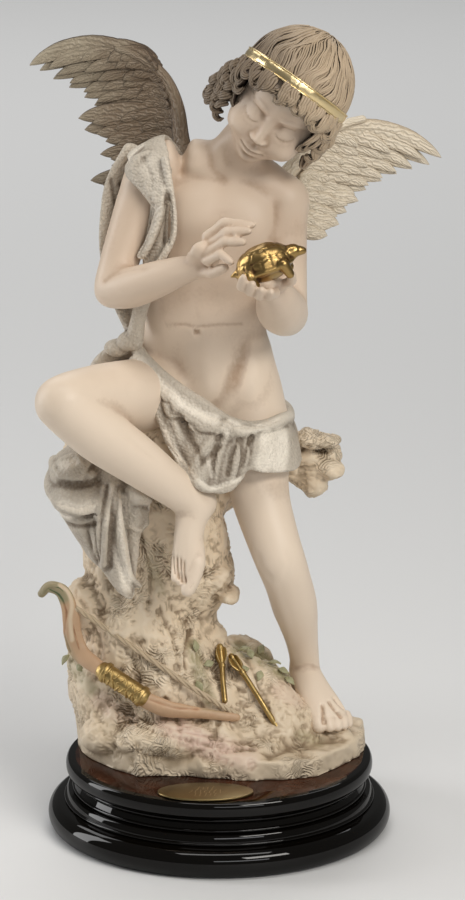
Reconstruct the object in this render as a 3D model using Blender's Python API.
# Cupid figurine: a cast figure on its rock, a turned round plinth and an oval plaque.
# Frame: origin under the middle of the plinth, +Z up, the viewer stands on the -Y side.
# Left and right in the comments are the figure's own.
import math

import bmesh
import bpy
from mathutils import Matrix, Vector, noise

# Driving sizes, in metres
CAST_HEIGHT = 0.3845        # plinth top to the top of the hair
PLINTH_HEIGHT = 0.038
TOP_RADIUS = 0.204 * CAST_HEIGHT    # flat top of the plinth, with a margin round the rock
RIM_OVERHANG = 0.0020       # the rounded rim stands this far outside the flat top
RIM_THICKNESS = 0.0085
COVE_DEPTH = 0.0095         # hollow under the rim
STEP_WIDTH = 0.0015         # the step above the foot stands this far outside the flat top
STEP_THICKNESS = 0.0060
FOOT_OVERHANG = 0.0115      # the foot's roll stands this far outside the flat top
FOOT_THICKNESS = 0.0150
PLAQUE_LENGTH = 0.049
PLAQUE_WIDTH = 0.026
PLAQUE_THICKNESS = 0.0012
PLAQUE_MARGIN = 0.0015      # from the plaque to the edge of the flat top
PLAQUE_OFFSET = -0.0070     # sideways place of the plaque
SEAT_GAP = 0.0003           # between a piece and what it rests on

# Modelling fineness
CLAY_VOXEL = 0.0016
CLAY_SMOOTHING = 5
CAST_TRIANGLES = 8400
TURNED_SIDES = 40
PLAQUE_SIDES = 28

# The figure is laid out in millimetres, about this high, and scaled to CAST_HEIGHT
LAYOUT_HEIGHT = 384.5
UNIT = CAST_HEIGHT / LAYOUT_HEIGHT

RESIN = ("cast_resin", (0.74, 0.65, 0.54, 1.0), 0.55, 0.0)
LACQUER = ("black_lacquered_wood", (0.02, 0.014, 0.012, 1.0), 0.12, 0.0)
BRASS = ("brass_plate", (0.55, 0.42, 0.16, 1.0), 0.3, 1.0)


def material(finish):
    name, colour, roughness, metallic = finish
    made = bpy.data.materials.new(name)
    made.use_nodes = True
    shader = made.node_tree.nodes["Principled BSDF"]
    shader.inputs["Base Color"].default_value = colour
    shader.inputs["Roughness"].default_value = roughness
    shader.inputs["Metallic"].default_value = metallic
    made.diffuse_color = colour
    return made


def add_object(name, mesh, finish):
    made = bpy.data.objects.new(name, mesh)
    bpy.context.scene.collection.objects.link(made)
    mesh.materials.append(material(finish))
    return made


def on_curve(a, b, c, d, t):
    """The point at t between b and c on a smooth curve through all four."""
    straight = 2 * b + (c - a) * t
    return 0.5 * (straight + (2 * a - 5 * b + 4 * c - d) * t * t + (3 * b - a - 3 * c + d) * t ** 3)


def smooth_rows(rows, steps):
    """Rows of numbers, with more of them read from the smooth curve through the given ones."""
    rows = [Vector(r) for r in rows]
    rows = [rows[0] * 2 - rows[1]] + rows + [rows[-1] * 2 - rows[-2]]
    found = [on_curve(*rows[i - 1:i + 3], k / steps) for i in range(1, len(rows) - 2) for k in range(steps)]
    return found + [rows[-2]]


def between(a, b, share):
    return Vector(a).lerp(Vector(b), share)


class Clay:
    """Closed lumps and limbs in layout millimetres, which overlap and are later fused into one body."""

    def __init__(self):
        self.bm = bmesh.new()

    def lump(self, centre, radii, axis=(0, 0, 1), side=(1, 0, 0), rough=0.0, grain=0.05, detail=3):
        """An egg with radii along side, across it and along axis. rough pushes its skin in and out."""
        up = Vector(axis).normalized()
        right = (Vector(side) - up * Vector(side).dot(up)).normalized()
        turn = Matrix((right, up.cross(right), up)).transposed()
        centre = Vector(centre)
        for v in bmesh.ops.create_icosphere(self.bm, subdivisions=detail, radius=1.0)["verts"]:
            arm = turn @ Vector((v.co.x * radii[0], v.co.y * radii[1], v.co.z * radii[2]))
            if rough:
                arm += arm.normalized() * rough * noise.noise((arm + centre) * grain)
            v.co = centre + arm

    def limb(self, stations, side=(1, 0, 0), sides=12, steps=3, rough=0.0):
        """A closed round-ended tube through (x, y, z, half width along side[, half depth])."""
        old = set(self.bm.verts) if rough else ()
        rows = smooth_rows([s if len(s) == 5 else (*s, s[3]) for s in stations], steps)
        points = [Vector(r[:3]) for r in rows]
        rings = []
        for i, row in enumerate(rows):
            along = (points[min(i + 1, len(points) - 1)] - points[max(i - 1, 0)]).normalized()
            across = (Vector(side) - along * Vector(side).dot(along)).normalized()
            rings.append((points[i], along, across, max(row[3], 0.2), max(row[4], 0.2)))
        first, last = rings[0], rings[-1]
        bulge = (math.radians(30), math.radians(60))
        path = [(first, -math.sin(a), math.cos(a)) for a in reversed(bulge)]
        path += [(r, 0.0, 1.0) for r in rings]
        path += [(last, math.sin(a), math.cos(a)) for a in bulge]
        loops = []
        for (point, along, across, wide, deep), push, shrink in path:
            middle = point + along * push * min(wide, deep)
            lift = along.cross(across)
            loops.append([self.bm.verts.new(middle + across * math.cos(t) * wide * shrink
                                            + lift * math.sin(t) * deep * shrink)
                          for t in (2 * math.pi * k / sides for k in range(sides))])
        for low, high in zip(loops, loops[1:]):
            for k in range(sides):
                n = (k + 1) % sides
                self.bm.faces.new((low[k], low[n], high[n], high[k]))
        bottom = self.bm.verts.new(first[0] - first[1] * min(first[3:]))
        top = self.bm.verts.new(last[0] + last[1] * min(last[3:]))
        for k in range(sides):
            n = (k + 1) % sides
            self.bm.faces.new((loops[0][n], loops[0][k], bottom))
            self.bm.faces.new((loops[-1][k], loops[-1][n], top))
        if rough:
            for v in set(self.bm.verts) - old:
                v.co += noise.noise_vector(v.co * 0.07) * rough

    def sheet(self, columns, thick=2.6, steps=3):
        """Cloth: a closed blanket through columns of points, all of the same length, thick millimetres deep."""
        columns = [smooth_rows(c, steps) for c in columns]
        rows = [smooth_rows(r, steps) for r in zip(*columns)]
        high, wide = len(rows), len(rows[0])
        skins = ([], [])
        for i in range(high):
            for j in range(wide):
                down = rows[min(i + 1, high - 1)][j] - rows[max(i - 1, 0)][j]
                across = rows[i][min(j + 1, wide - 1)] - rows[i][max(j - 1, 0)]
                out = across.cross(down).normalized() * thick / 2
                skins[0].append(self.bm.verts.new(rows[i][j] - out))
                skins[1].append(self.bm.verts.new(rows[i][j] + out))
        for i in range(high - 1):
            for j in range(wide - 1):
                a, b, c, d = i * wide + j, i * wide + j + 1, (i + 1) * wide + j + 1, (i + 1) * wide + j
                self.bm.faces.new([skins[0][k] for k in (a, b, c, d)])
                self.bm.faces.new([skins[1][k] for k in (d, c, b, a)])
        border = [j for j in range(wide)] + [i * wide + wide - 1 for i in range(1, high)]
        border += [(high - 1) * wide + j for j in range(wide - 2, -1, -1)]
        border += [i * wide for i in range(high - 2, 0, -1)]
        for a, b in zip(border, border[1:] + border[:1]):
            self.bm.faces.new((skins[0][b], skins[0][a], skins[1][a], skins[1][b]))

    def slab(self, outline, low, high, taper):
        """A block on a flat outline. taper shrinks its top about the outline's middle."""
        middle = sum((Vector((x, y, 0)) for x, y in outline), Vector()) / len(outline)
        rings = []
        for z, share in ((low, 1.0), (high, taper)):
            rings.append([self.bm.verts.new(middle.lerp(Vector((x, y, 0)), share) + Vector((0, 0, z)))
                          for x, y in outline])
        self.bm.faces.new(reversed(rings[0]))
        self.bm.faces.new(rings[1])
        for k in range(len(outline)):
            n = (k + 1) % len(outline)
            self.bm.faces.new((rings[0][k], rings[0][n], rings[1][n], rings[1][k]))


# The figure: points are (x, y, z) in layout millimetres above the middle of the plinth's top

HEAD_CENTRE = Vector((32.6, -9.0, 346.8))
HEAD_ROLL = math.radians(32)      # towards the left shoulder
HEAD_PITCH = math.radians(30)     # bowed forward
HEAD_TURN = math.radians(-6)
HEAD_FRAME = (Matrix.Rotation(HEAD_ROLL, 3, "Y") @ Matrix.Rotation(HEAD_PITCH, 3, "X")
              @ Matrix.Rotation(HEAD_TURN, 3, "Z"))


def on_head(across, forward, up):
    """A point of the head from its own directions: across to its left, forward to the nose, up to the crown."""
    return HEAD_CENTRE + HEAD_FRAME @ Vector((across, -forward, up))


def head_way(across, forward, up):
    return HEAD_FRAME @ Vector((across, -forward, up))


def add_torso(clay):
    clay.limb([(-3, 18, 176, 20, 19), (-4, 20, 190, 34, 24), (-6, 20, 207, 34, 21.5), (-8, 18, 223, 31.5, 18.5),
               (-6, 17, 241, 31, 19), (-3, 14, 261, 32, 21), (0.5, 12, 280, 34, 22), (3, 12, 295, 33, 19.5),
               (4.5, 12, 306, 24, 14), (6, 11, 314, 12, 11.5)], side=(1, 0, -0.2), sides=20, steps=4)
    clay.lump((-14, -1, 288), (16, 9, 12), side=(1, -0.2, -0.2))      # breast, right
    clay.lump((20, -1, 282), (15, 9, 12), side=(1, 0.3, -0.2))        # breast, left
    clay.lump((-17, 4, 262), (14, 13, 15))                            # ribs
    clay.lump((12, 3, 257), (14, 13, 15))
    clay.lump((-8, 9, 214), (23, 13, 22))                             # belly
    clay.lump((-22, 33, 190), (19, 17, 18))                           # seat
    clay.lump((13, 34, 188), (19, 17, 18))
    clay.limb([(-2, 12, 310, 13), (-19, 12, 314, 12), (-33, 12, 310, 12)])     # shoulder slopes
    clay.limb([(8, 12, 308, 13), (20, 12, 304, 12.5), (32, 10, 295, 12)])
    clay.limb([(-1, 22, 300, 9), (-16, 27, 296, 10), (-20, 28, 280, 8)])       # shoulder blades
    clay.limb([(10, 22, 298, 9), (24, 26, 290, 10), (26, 27, 274, 8)])


def add_head(clay):
    clay.limb([(4, 13, 304, 15, 13), (8, 10, 316, 13, 12.5), (15, 4, 327, 12, 12), (24, 0, 337, 12, 13)], sides=14)
    up, side = head_way(0, 0, 1), head_way(1, 0, 0)
    clay.lump(on_head(0, -4, 6), (23.5, 27, 25.5), up, side)          # skull
    clay.lump(on_head(0, 6, -8), (22, 17.5, 21), up, side)            # face
    clay.lump(on_head(0, 17, -25.5), (7, 6, 5.5), up, side)           # chin
    for s in (-1, 1):
        clay.lump(on_head(s * 12.5, 12.5, -12), (9, 9, 9), up, side)       # cheeks
        clay.lump(on_head(s * 9.5, 18, 6), (8.5, 4.5, 3.2), up, side)      # brow
        clay.lump(on_head(s * 9.5, 17.6, -0.5), (5.2, 5, 4.2), up, side)   # lowered lids
        clay.lump(on_head(s * 3.6, 23.6, -12.2), (2.6, 3.2, 2.4), up, side)
    nose = [(*on_head(0, 21, 4), 2.4), (*on_head(0, 24.5, -5), 2.8), (*on_head(0, 27.4, -11), 3.5)]
    clay.limb(nose, side=side, sides=8)
    clay.lump(on_head(0, 23.4, -18.2), (7.2, 2.8, 1.9), up, side)     # lips
    clay.lump(on_head(0, 22.8, -21.4), (5.6, 2.8, 2.1), up, side)


def curl(clay, centre, out, size, thick):
    """A snail curl: a tapering tube wound once and a half round the way out."""
    out = Vector(out).normalized()
    side = out.cross(Vector((0.3, 0.2, 1))).normalized()
    lift = out.cross(side)
    turns = [2.4 * math.pi * k / 7 for k in range(8)]
    clay.limb([(*(Vector(centre) + (side * math.cos(t) + lift * math.sin(t)) * size * (1 - 0.09 * k)
                  + out * 0.35 * k), thick * (1 - 0.07 * k)) for k, t in enumerate(turns)], sides=6, steps=2)


def on_dome(turn, fall, lift=0.0):
    """A point on the dome of hair. turn goes round from the brow to the left, fall from the apex down to the fillet
    at 90 degrees and on below it. The fillet's plane leans back, from the hairline to the nape."""
    across = (28 + lift) * math.sin(fall) * math.sin(turn)
    outward = (29 + lift) * math.sin(fall) * math.cos(turn)
    along = (30.5 + lift) * math.cos(fall)
    return on_head(across, -5 + 0.77 * outward - 0.64 * along, 9 + 0.64 * outward + 0.77 * along)


def add_hair(clay):
    clay.lump(on_head(0, -5, 9), (26.5, 27.5, 29), head_way(0, -0.64, 0.77), head_way(1, 0, 0))
    # Combed locks run from the crown down to the fillet
    for k in range(26):
        turn = 2 * math.pi * k / 26
        run = [(*on_dome(turn + 0.09 * math.sin(5 * fall + 2 * k), fall, -1), thick)
               for fall, thick in ((0.1, 1.5), (0.45, 2.1), (0.8, 2.3), (1.15, 2.1), (1.5, 1.6))]
        clay.limb(run, sides=6, steps=2)
    # Curls below the fillet: three rows over the brow and the ears, two at the nape
    for row, fall in enumerate((1.78, 2.02, 2.26)):
        for k in range(17):
            turn = 2 * math.pi * (k + 0.5 * (row % 2)) / 17
            if row == 2 and abs(math.sin(turn)) < 0.5:
                continue
            where = on_dome(turn, fall, 0.5)
            curl(clay, where, where - on_head(0, -5, 4), 3.6, 2.3)
    # A loose bunch falls beside the right temple
    for across, forward, lift in ((-29, 2, 9), (-33, 4, 5), (-36, 3, -1), (-38, 2, -7), (-38, 3, -13), (-35, 4, -19),
                                  (-31, 7, 0), (-33, 6, -7), (-32, 7, -14), (-30, 6, -20), (-27, 5, -25), (-29, 9, -6)):
        curl(clay, on_head(across, forward, lift), head_way(-0.5, 0.8, 0.1), 3.8, 2.5)
    clay.lump(on_head(-30, 0, -8), (8, 7, 15), head_way(0, 0, 1), head_way(1, 0, 0))
    for across, forward, lift in ((27, 6, 4), (27, 8, -3), (26, 7, -10), (25, 6, -16)):
        curl(clay, on_head(across, forward, lift), head_way(0.7, 0.7, 0), 3.6, 2.4)


def add_fillet(clay):
    ring = [(*on_dome(2 * math.pi * k / 24, math.pi / 2, 0.8), 2.8, 1.2) for k in range(25)]
    clay.limb(ring, side=head_way(0, -0.64, 0.77), sides=8, steps=1)


def add_right_arm(clay):
    clay.lump((-35, 11, 303), (14, 14, 15))
    clay.limb([(-36, 11, 304, 13), (-42, 8, 287, 11.5), (-49, 2, 268, 10), (-54, -5, 252, 9.5)])
    clay.limb([(-54, -5, 250, 9.8), (-44, -14, 253, 10.3), (-30, -25, 260, 9.2), (-18, -33, 266, 7.2),
               (-10, -38, 269, 5.6)])
    clay.limb([(-11, -37, 269, 6.5, 4.5), (-8, -42, 274, 8.5, 4.2), (-6, -46, 280, 8.0, 3.6)], side=(0, -0.6, 0.8))
    for knuckle, joint, tip, thick in (((-6, -42, 285), (3, -46, 293), (17, -52, 293), 2.4),
                                       ((-5, -45, 281), (4, -51, 289), (15, -57, 291), 2.5),
                                       ((-6, -48, 278), (3, -54, 285), (12, -60, 286), 2.4),
                                       ((-6, -49, 274), (1, -56, 279), (6, -60, 276), 2.2),
                                       ((-8, -42, 266), (-3, -49, 268), (3, -55, 272), 2.6)):
        finger(clay, knuckle, joint, tip, thick)


def finger(clay, knuckle, joint, tip, thick):
    stations = [(*knuckle, thick * 1.12), (*joint, thick), (*between(joint, tip, 0.55), thick * 0.9),
                (*tip, thick * 0.75)]
    clay.limb(stations, sides=8, steps=2)


def add_left_arm(clay):
    clay.lump((34, 10, 292), (13, 13, 15))
    clay.limb([(34, 10, 293, 12), (35, 7, 274, 9.8), (35, 1, 254, 9.8), (34, -4, 239, 11)])
    clay.limb([(34, -4, 237, 11.5), (31, -22, 244, 12.2), (29, -38, 253, 9.5), (26, -50, 260, 6.5)])
    clay.limb([(26, -50, 260, 7, 5), (23, -58, 263, 9, 4.5), (20, -67, 265, 8, 4)], side=(1, 0, 0.3))
    for k, (x, z) in enumerate(((11, 268), (15, 265.5), (20, 263.5), (25, 263))):
        finger(clay, (x + 3, -66, z - 1), (x, -73, z), (x + 1, -75.5, z + 5 - k), 2.4)
    finger(clay, (31, -56, 264), (35, -62, 268), (34, -68, 272), 2.6)


def add_tortoise(clay):
    """The gilded tortoise, held level with its head to the figure's left."""
    way, up = Vector((1, 0, 0.36)).normalized(), Vector((-0.36, 0, 1)).normalized()
    middle = Vector((22.5, -65, 276.5))
    clay.lump(middle, (14.5, 10.5, 8.5), up, way)
    clay.lump(middle - up * 2.5, (15.3, 11.3, 4.0), up, way)
    clay.limb([(*(middle + way * 11 + up * 0.5), 4.2), (*(middle + way * 16 + up * 0.8), 3.8),
               (*(middle + way * 20 - up * 0.5), 2.0)], sides=8)
    clay.limb([(*(middle - way * 13), 2.4), (*(middle - way * 17.5 - up * 1), 0.9)], sides=6)
    for along, across in ((9, -8.5), (9, 8.5), (-9, -8.5), (-9, 8.5)):
        base = middle + way * along + Vector((0, across, 0)) - up * 2
        clay.limb([(*base, 3.0), (*(base - up * 6 + way * 1.5), 2.3)], sides=8)


def add_right_leg(clay):
    clay.limb([(-22, 20, 190, 22, 20), (-40, -3, 194, 18.5, 17.5), (-60, -28, 199, 16.5, 15.5),
               (-76, -48, 202, 14.5, 14)], side=(0, 0, 1), sides=14)
    clay.lump((-78, -51, 202), (14.5, 14, 14))
    clay.limb([(-76, -51, 199, 13.5), (-61, -46, 185, 13.8), (-44, -39, 171, 13), (-28, -33, 157, 11),
               (-17, -29, 147, 9.3), (-12, -28, 140, 8.6)], side=(0, 1, 0), sides=14)
    clay.lump((-8.5, -24, 143), (8, 8, 8))
    clay.limb([(-13, -28, 142, 8.5, 8), (-15.5, -32, 128, 7.5, 7), (-15.5, -35, 117, 8.6, 5.6),
               (-16.5, -37, 109, 8.2, 4.2)])
    clay.limb([(-11, -37, 113, 4.0), (-13.5, -39, 105, 3.6), (-16, -40, 100.5, 3.0)], sides=8, steps=2)
    for k in range(4):
        x = -22.5 + 2.6 * k
        clay.limb([(x + 0.6, -37, 112 - 1.2 * k, 2.2), (x, -39, 106.5 - 1.4 * k, 2.0)], sides=8, steps=2)


def add_left_leg(clay):
    clay.limb([(15, 20, 186, 21, 20), (18, 13, 165, 18.5, 18.5), (21, 4, 140, 15, 15.5), (28, -7, 118, 13.2, 13.5),
               (32, -10, 107, 12.6, 13), (36, -5, 94, 11.8, 12.5), (39.5, 3, 79, 11.6, 12), (43, 14, 60, 8.6, 9),
               (45, 22, 45, 7.6, 8), (45, 25, 37, 8, 9)], sides=14)
    clay.lump((31, -15, 112), (8, 6, 9))                              # kneecap
    clay.lump((43.5, 32, 27), (8, 9, 8))                              # heel
    clay.limb([(45, 24, 37, 7.5, 8), (49, 13, 31, 8.8, 7.5), (54, 3, 25, 10, 6), (57, -3, 21.5, 10, 5)],
              side=(1, 0.3, 0))
    for k, (x, y, thick) in enumerate(((51.5, -9, 3.6), (56.5, -9.5, 2.7), (60.5, -8.5, 2.5), (64, -6, 2.4),
                                       (67, -2.5, 2.2))):
        clay.limb([(x - 0.5, y + 8, 20.5 - 0.4 * k, thick), (x, y + 3, 20 - 0.4 * k, thick * 1.05),
                   (x + 0.3, y, 17.6 - 0.3 * k, thick * 0.95)], sides=8, steps=2)


def feather(clay, root, tip, droop, wide, thick, face):
    """A blade from root to tip, bowed by droop, broad side across face."""
    root, tip = Vector(root), Vector(tip)
    side = (tip - root).cross(Vector(face)).normalized()
    rows = []
    for t, share in ((0.0, 0.5), (0.25, 0.9), (0.55, 1.0), (0.82, 0.95), (1.0, 0.6)):
        point = root.lerp(tip, t) + Vector(droop) * 4 * t * (1 - t)
        rows.append((*point, wide * share, thick * (1.15 - 0.5 * t)))
    clay.limb(rows, side=side, sides=8, steps=2)


def wing_feathers(clay, bone, tips, face, droop, wide):
    """Feathers from points along the bone to the given tips, in three overlapping layers on both sides."""
    bone_rows = smooth_rows(bone, 8)
    layers = ((1.0, 1.0, 0.0), (0.62, 0.9, 1.5), (0.62, 0.9, -1.5), (0.36, 0.75, 2.6), (0.36, 0.75, -2.6))
    for reach, broad, lift in layers:
        for i, tip in enumerate(tips):
            share = 1 - (i + 0.5) / len(tips)
            root = bone_rows[min(int(share * len(bone_rows)), len(bone_rows) - 1)]
            end = root.lerp(Vector(tip), reach)
            shift = Vector(face) * lift
            feather(clay, root + shift, end + shift, Vector(droop) * reach, wide * broad, 1.5, face)


def add_right_wing(clay):
    bone = [(-14, 26, 298), (-19, 34, 318), (-20, 39, 335), (-25, 42, 349), (-33, 44, 357), (-47, 46, 364),
            (-64, 49, 367), (-74, 50, 364)]
    clay.limb([(*p, r) for p, r in zip(bone, (7, 6, 5.5, 5.2, 4.8, 4.2, 3.2, 2.4))], sides=8, steps=2)
    tips = [(-97, 52, 356), (-90, 54, 351), (-82, 54, 347), (-75, 54, 342), (-67, 52, 337), (-71, 50, 330),
            (-69, 50, 323), (-62, 48, 318), (-54, 46, 316), (-60, 44, 310), (-54, 42, 305)]
    wing_feathers(clay, bone, tips, (0.25, 0.97, 0), (0, 2, 3), 6.0)
    for root, tip in (((-20, 30, 306), (-64, 44, 296)), ((-20, 30, 300), (-56, 42, 290)),
                      ((-18, 28, 296), (-48, 38, 284))):
        feather(clay, root, tip, (0, 2, 2), 5.5, 1.5, (0.25, 0.97, 0))


def add_left_wing(clay):
    bone = [(24, 26, 288), (38, 32, 304), (50, 37, 318), (62, 41, 326), (74, 44, 330), (86, 46, 328), (100, 48, 321)]
    clay.limb([(*p, r) for p, r in zip(bone, (7, 6, 5.5, 5, 4.6, 4, 3))], sides=8, steps=2)
    tips = [(115, 50, 308), (109, 50, 304), (100, 50, 303), (92, 50, 301), (84, 48, 297), (76, 47, 293),
            (71, 46, 288), (66, 44, 283), (64, 42, 278), (61, 40, 273), (55, 38, 270)]
    wing_feathers(clay, bone, tips, (-0.15, 0.98, 0), (0, 2, 1), 6.0)
    for root, tip in (((30, 28, 284), (58, 38, 266)), ((28, 28, 278), (50, 36, 260))):
        feather(clay, root, tip, (0, 2, 0), 5.5, 1.5, (-0.15, 0.98, 0))


def add_shoulder_cloth(clay):
    """The chlamys: over the right shoulder, down inside the arm, and knotted at the waist."""
    clay.limb([(-20, 30, 300, 9, 2.2), (-32, 20, 318, 10, 2.2), (-37, 8, 321, 11, 2.4), (-34, -4, 316, 10, 2.4),
               (-31, -9, 305, 7.5, 2.4), (-29, -11, 297, 4, 2.0)], side=(1, 0, 0.5))
    clay.limb([(-24, -3, 319, 3), (-22, -10, 306, 3.4), (-21, -12, 290, 3.4), (-23, -12, 275, 3.2),
               (-27, -10, 262, 3.2)], sides=8)
    clay.limb([(-28, -4, 312, 5, 3), (-30, -4, 292, 5, 3), (-32, -4, 272, 6, 3), (-34, -6, 256, 6, 3)], sides=8)
    clay.limb([(-44, 22, 318, 6, 2.5), (-52, 20, 300, 8, 2.5), (-55, 17, 280, 8, 2.5), (-54, 14, 258, 8, 2.5),
               (-48, 10, 238, 7, 2.5), (-43, 4, 226, 5, 3)], side=(1, 0.8, 0), sides=8)
    clay.limb([(-32, -5, 258, 4), (-38, -5, 246, 4), (-41, -4, 234, 4), (-43, -2, 222, 5)], sides=8)
    clay.lump((-46, -1, 222), (6, 6, 5))
    clay.lump((-52, 2, 218), (7, 5, 4.5))
    clay.limb([(-48, 8, 218, 9, 3), (-56, 14, 206, 12, 4), (-60, 16, 190, 12, 5)], side=(1, 0.6, 0), sides=8)


def add_hip_cloth(clay):
    clay.limb([(-43, 2, 219, 4, 3.5), (-36, -7, 209, 6, 3.5), (-24, -14, 198, 7.5, 3.8), (-10, -18, 189, 8, 4),
               (3, -19, 182, 6, 4), (18, -13, 178, 5, 3.6), (32, 1, 179, 5, 3.4), (39, 18, 181, 5, 3.4),
               (35, 37, 184, 5, 3.4), (22, 49, 186, 5, 3.4), (5, 53, 188, 5, 3.4), (-14, 53, 192, 5, 3.4),
               (-32, 47, 200, 5, 3.4), (-43, 32, 208, 5, 3.4), (-45, 14, 216, 5, 3.4)], side=(0, 0, 1), sides=10)
    clay.limb([(2, -22, 184, 2.5), (4.5, -25, 181, 3.2), (5, -23, 177, 2.6)], sides=8)
    clay.sheet((((-43, 2, 217), (-42, -2, 213), (-41, -4, 208)), ((-36, -8, 208), (-33, -15, 199), (-32, -17, 188)),
                ((-29, -13, 202), (-28, -15, 190), (-28, -19, 179)), ((-22, -16, 196), (-22, -24, 184), (-24, -26, 169)),
                ((-15, -18, 191), (-16, -20, 178), (-19, -24, 162)), ((-8, -20, 187), (-8, -29, 173), (-11, -34, 156)),
                ((-1, -21, 184), (-2, -23, 168), (-4, -27, 153)), ((6, -20, 181), (5, -28, 168), (3, -30, 153)),
                ((13, -17, 179), (12, -18, 168), (11, -20, 158)), ((21, -11, 178), (20, -17, 170), (19, -18, 162)),
                ((29, -4, 178), (29, -6, 167), (28, -10, 157)), ((36, 6, 179), (38, 2, 167), (39, -1, 155)),
                ((39, 20, 180), (41, 18, 169), (42, 14, 157)), ((36, 38, 183), (39, 40, 174), (39, 40, 163)),
                ((24, 50, 185), (26, 55, 176), (24, 56, 164)), ((7, 54, 187), (7, 59, 177), (5, 58, 164)),
                ((-12, 54, 191), (-13, 59, 179), (-14, 58, 165)), ((-30, 49, 198), (-33, 55, 184), (-36, 54, 168)),
                ((-43, 34, 206), (-48, 39, 192), (-54, 40, 173)), ((-46, 16, 214), (-52, 20, 200), (-60, 22, 181))),
               thick=4.0)


def add_seat_cloth(clay):
    """The cloth that hangs from under the right thigh down the rock."""
    clay.sheet((((-76, 8, 166), (-85, 4, 152), (-78, 4, 136), (-68, 4, 118)),
                ((-76, -4, 166), (-88, -10, 149), (-80, -10, 134), (-67, -4, 110)),
                ((-68, -12, 164), (-78, -22, 146), (-72, -20, 132), (-64, -13, 108)),
                ((-60, -15, 163), (-66, -20, 146), (-64, -17, 128), (-59, -15, 103)),
                ((-53, -18, 162), (-57, -26, 142), (-55, -24, 120), (-50, -22, 93)),
                ((-47, -18, 161), (-50, -21, 142), (-48, -18, 120), (-44, -18, 92)),
                ((-40, -20, 160), (-42, -26, 146), (-42, -22, 134), (-42, -17, 122)),
                ((-34, -20, 158), (-35, -20, 146), (-36, -19, 138), (-37, -16, 130))), thick=4.5)
    for run in (((-84, 0, 158, 4), (-80, -16, 153, 5), (-66, -19, 155, 4)),
                ((-86, -2, 146, 3.5), (-79, -19, 140, 4.5), (-66, -20, 142, 3.5))):
        clay.limb(run, sides=8)


def add_rock(clay):
    outline = [(-76, 34), (-72, 8), (-60, -20), (-40, -38), (-14, -36), (9, -43), (30, -43), (49, -38), (66, -16),
               (75, 2), (76, 27), (60, 46), (30, 58), (-20, 62), (-58, 52)]
    clay.slab(outline, -3, 9, 0.95)
    clay.limb([(-33, 12, 4, 41, 42), (-35, 12, 24, 41, 40), (-37, 13, 44, 41, 36), (-39, 14, 63, 40, 31),
               (-36, 15, 80, 33, 27), (-32, 16, 96, 36, 27), (-34, 17, 112, 37, 27), (-36, 19, 128, 40, 28),
               (-32, 24, 146, 46, 29), (-24, 27, 162, 48, 30)], sides=22, steps=4, rough=5.0)
    for ridge in (((-2, 8, 42, 15), (0, -8, 24, 15), (2, -24, 6, 13)), ((12, 8, 38, 14), (18, -6, 20, 14), (24, -24, 3, 13)),
                  ((22, 14, 32, 13), (36, 4, 15, 13), (46, -14, 0, 13)), ((30, 24, 26, 12), (44, 26, 10, 11), (60, 24, -2, 11)),
                  ((-24, 0, 36, 18), (-22, -14, 18, 16), (-22, -24, 4, 12)), ((-46, 0, 40, 18), (-48, -12, 22, 16), (-48, -18, 4, 12)),
                  ((-62, 14, 60, 16), (-62, 8, 34, 15), (-62, 4, 6, 13)), ((10, 30, 40, 16), (30, 38, 18, 14), (50, 36, 2, 12)),
                  ((-30, 34, 40, 24), (-28, 44, 20, 18), (-28, 48, 2, 13))):
        clay.limb(ridge, rough=3.5, steps=4)
    for centre, radii, rough in (((16, 4, 12), (38, 31, 26), 5), ((4, 38, 14), (56, 20, 22), 5), ((56, 0, 2), (17, 17, 12), 1), ((42, 34, 7), (18, 18, 11), 1),
                                 ((44, 36, 148), (16, 16, 14), 5), ((20, 36, 152), (26, 22, 16), 5),
                                 ((-60, 20, 160), (20, 20, 14), 4), ((-68, 6, 74), (11, 14, 16), 2),
                                 ((1, 8, 95), (9, 14, 10), 2)):
        clay.lump(centre, radii, rough=rough, grain=0.07)


def add_bow_and_arrows(clay):
    """The bow lies down the rock's left front, string inwards, with two arrows beside it."""
    clay.limb([(-92, -6, 89, 2.6), (-88, -8, 93, 3.6), (-81, -10, 91, 4.6, 3.2), (-77, -11.5, 80, 5.5, 3.2),
               (-76, -11, 69, 6, 3.4), (-73, -12, 60, 6.4, 3.6), (-66, -16, 54.5, 5.4, 4), (-55, -22.5, 48.7, 4.8, 4.8),
               (-43, -27, 42, 4.8, 4.8), (-37, -29, 38, 5.6, 4), (-28, -30.5, 34.5, 5.8, 3.6), (-17.5, -28.5, 32, 4.6, 3.4),
               (-7, -26, 30, 3.6, 3), (9, -25, 27.5, 2.6, 2.4)], side=(0.5, 0, 1), sides=10)
    clay.limb([(-74, -9, 83, 1.7), (-59, -8.5, 72.5, 1.6), (-41, -18, 62, 1.6), (-20, -20.5, 47.5, 1.6),
               (-2, -20, 35.5, 1.6), (9, -21, 29, 1.6)], sides=6)
    clay.limb([(0.5, 1, 57, 2.8), (1.5, -5, 50, 1.9), (2, -12, 43.5, 1.9), (3, -19, 35, 1.9)], sides=8)
    clay.limb([(6.5, 0, 52, 2.8), (13.5, -5, 44.5, 1.9), (22, -11, 34, 1.9), (34, -10, 18.5, 2.1)], sides=8)


def cast_mesh():
    clay = Clay()
    for add in (add_torso, add_head, add_hair, add_fillet, add_right_arm, add_left_arm, add_tortoise, add_right_leg,
                add_left_leg, add_right_wing, add_left_wing, add_shoulder_cloth, add_hip_cloth, add_seat_cloth,
                add_rock, add_bow_and_arrows):
        add(clay)
    bmesh.ops.transform(clay.bm, matrix=Matrix.Scale(UNIT, 4), verts=clay.bm.verts)
    mesh = bpy.data.meshes.new("cast")
    clay.bm.to_mesh(mesh)
    clay.bm.free()
    return mesh


def modified(obj):
    """The object's mesh as its modifiers leave it."""
    graph = bpy.context.evaluated_depsgraph_get()
    made = bpy.data.meshes.new_from_object(obj.evaluated_get(graph))
    obj.modifiers.clear()
    obj.data = made


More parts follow.
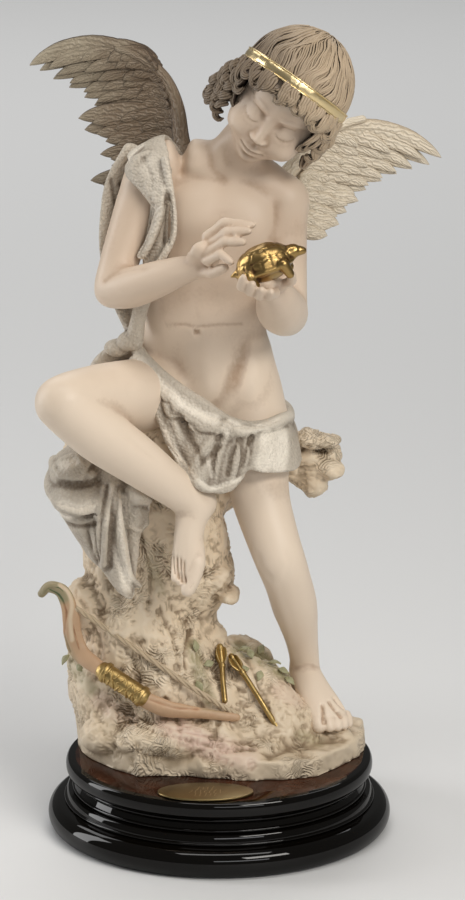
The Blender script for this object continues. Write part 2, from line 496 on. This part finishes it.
def keep_largest(bm):
    """Deletes what isn't joined to the largest body."""
    left, bodies = set(bm.verts), []
    while left:
        front, body = [left.pop()], []
        while front:
            v = front.pop()
            body.append(v)
            for e in v.link_edges:
                other = e.other_vert(v)
                if other in left:
                    left.remove(other)
                    front.append(other)
        bodies.append(body)
    bodies.sort(key=len)
    for body in bodies[:-1]:
        bmesh.ops.delete(bm, geom=body, context="VERTS")


def cut_flat(obj):
    """Cuts the object off flat at its own zero, closes the cut, and scales what is above it to CAST_HEIGHT."""
    bm = bmesh.new()
    bm.from_mesh(obj.data)
    keep_largest(bm)
    cut = bmesh.ops.bisect_plane(bm, geom=bm.verts[:] + bm.edges[:] + bm.faces[:], plane_co=(0, 0, 0),
                                 plane_no=(0, 0, 1), clear_inner=True)
    rim = [e for e in cut["geom_cut"] if isinstance(e, bmesh.types.BMEdge)]
    bmesh.ops.edgenet_fill(bm, edges=rim)
    bmesh.ops.triangulate(bm, faces=bm.faces)
    bmesh.ops.recalc_face_normals(bm, faces=bm.faces)
    height = max(v.co.z for v in bm.verts)
    bmesh.ops.scale(bm, vec=[CAST_HEIGHT / height] * 3, verts=bm.verts)
    bm.to_mesh(obj.data)
    bm.free()


def make_cast():
    cast = add_object("cupid_on_rock", cast_mesh(), RESIN)
    fuse = cast.modifiers.new("fuse", "REMESH")
    fuse.mode = "VOXEL"
    fuse.voxel_size = CLAY_VOXEL
    soften = cast.modifiers.new("soften", "SMOOTH")
    soften.factor = 0.5
    soften.iterations = CLAY_SMOOTHING
    modified(cast)
    thin = cast.modifiers.new("thin", "DECIMATE")
    thin.ratio = CAST_TRIANGLES / (2 * len(cast.data.polygons))
    modified(cast)
    cut_flat(cast)
    cast.location.z = PLINTH_HEIGHT + SEAT_GAP


def arc(centre_r, centre_z, radius_r, radius_z, start, end, steps):
    """Points (radius, height) on an elliptical arc, with angles in degrees from outwards."""
    found = []
    for k in range(steps + 1):
        a = math.radians(start + (end - start) * k / steps)
        found.append((centre_r + radius_r * math.cos(a), centre_z + radius_z * math.sin(a)))
    return found


def make_plinth():
    """The turned plinth: a flat top with a rounded rim, a cove, a step and a heavy rolled foot."""
    step_top = FOOT_THICKNESS + STEP_THICKNESS
    rim_low = PLINTH_HEIGHT - RIM_THICKNESS
    cove_radius = TOP_RADIUS - COVE_DEPTH
    cove_height = rim_low - step_top
    profile = [(0.0, PLINTH_HEIGHT)]
    profile += arc(TOP_RADIUS, PLINTH_HEIGHT - RIM_THICKNESS / 2, RIM_OVERHANG, RIM_THICKNESS / 2, 90, -90, 4)
    profile += [(cove_radius + 0.4 * COVE_DEPTH, rim_low - 0.15 * cove_height),
                (cove_radius, step_top + 0.5 * cove_height), (cove_radius + 0.2 * COVE_DEPTH, step_top)]
    profile += [(TOP_RADIUS + STEP_WIDTH, step_top), (TOP_RADIUS + STEP_WIDTH + 0.001, FOOT_THICKNESS)]
    foot_middle = TOP_RADIUS + 0.45 * FOOT_OVERHANG
    profile += arc(foot_middle, FOOT_THICKNESS / 2, 0.55 * FOOT_OVERHANG, FOOT_THICKNESS / 2, 75, -75, 5)
    profile += [(foot_middle, 0.0), (0.0, 0.0)]
    bm = bmesh.new()
    line = [bm.verts.new((r, 0, z)) for r, z in profile]
    for low, high in zip(line, line[1:]):
        bm.edges.new((low, high))
    mesh = bpy.data.meshes.new("plinth")
    bm.to_mesh(mesh)
    bm.free()
    plinth = add_object("plinth", mesh, LACQUER)
    turn = plinth.modifiers.new("turn", "SCREW")
    turn.steps = turn.render_steps = TURNED_SIDES
    turn.use_merge_vertices = True
    turn.merge_threshold = 0.00001
    turn.use_smooth_shade = True


def make_plaque():
    bm = bmesh.new()
    rings = []
    for z, share in ((0.0, 1.0), (0.6, 1.0), (1.0, 0.95)):
        rings.append([bm.verts.new((PLAQUE_LENGTH / 2 * share * math.cos(t), PLAQUE_WIDTH / 2 * share * math.sin(t),
                                    z * PLAQUE_THICKNESS))
                      for t in (2 * math.pi * k / PLAQUE_SIDES for k in range(PLAQUE_SIDES))])
    bm.faces.new(reversed(rings[0]))
    bm.faces.new(rings[-1])
    for low, high in zip(rings, rings[1:]):
        for k in range(PLAQUE_SIDES):
            n = (k + 1) % PLAQUE_SIDES
            bm.faces.new((low[k], low[n], high[n], high[k]))
    mesh = bpy.data.meshes.new("plaque")
    bm.to_mesh(mesh)
    bm.free()
    plaque = add_object("plaque", mesh, BRASS)
    reach = TOP_RADIUS - PLAQUE_MARGIN - PLAQUE_WIDTH / 2
    plaque.location = (PLAQUE_OFFSET, -reach, PLINTH_HEIGHT + SEAT_GAP)


def main():
    for obj in list(bpy.data.objects):
        bpy.data.objects.remove(obj, do_unlink=True)
    make_plinth()
    make_plaque()
    make_cast()


main()
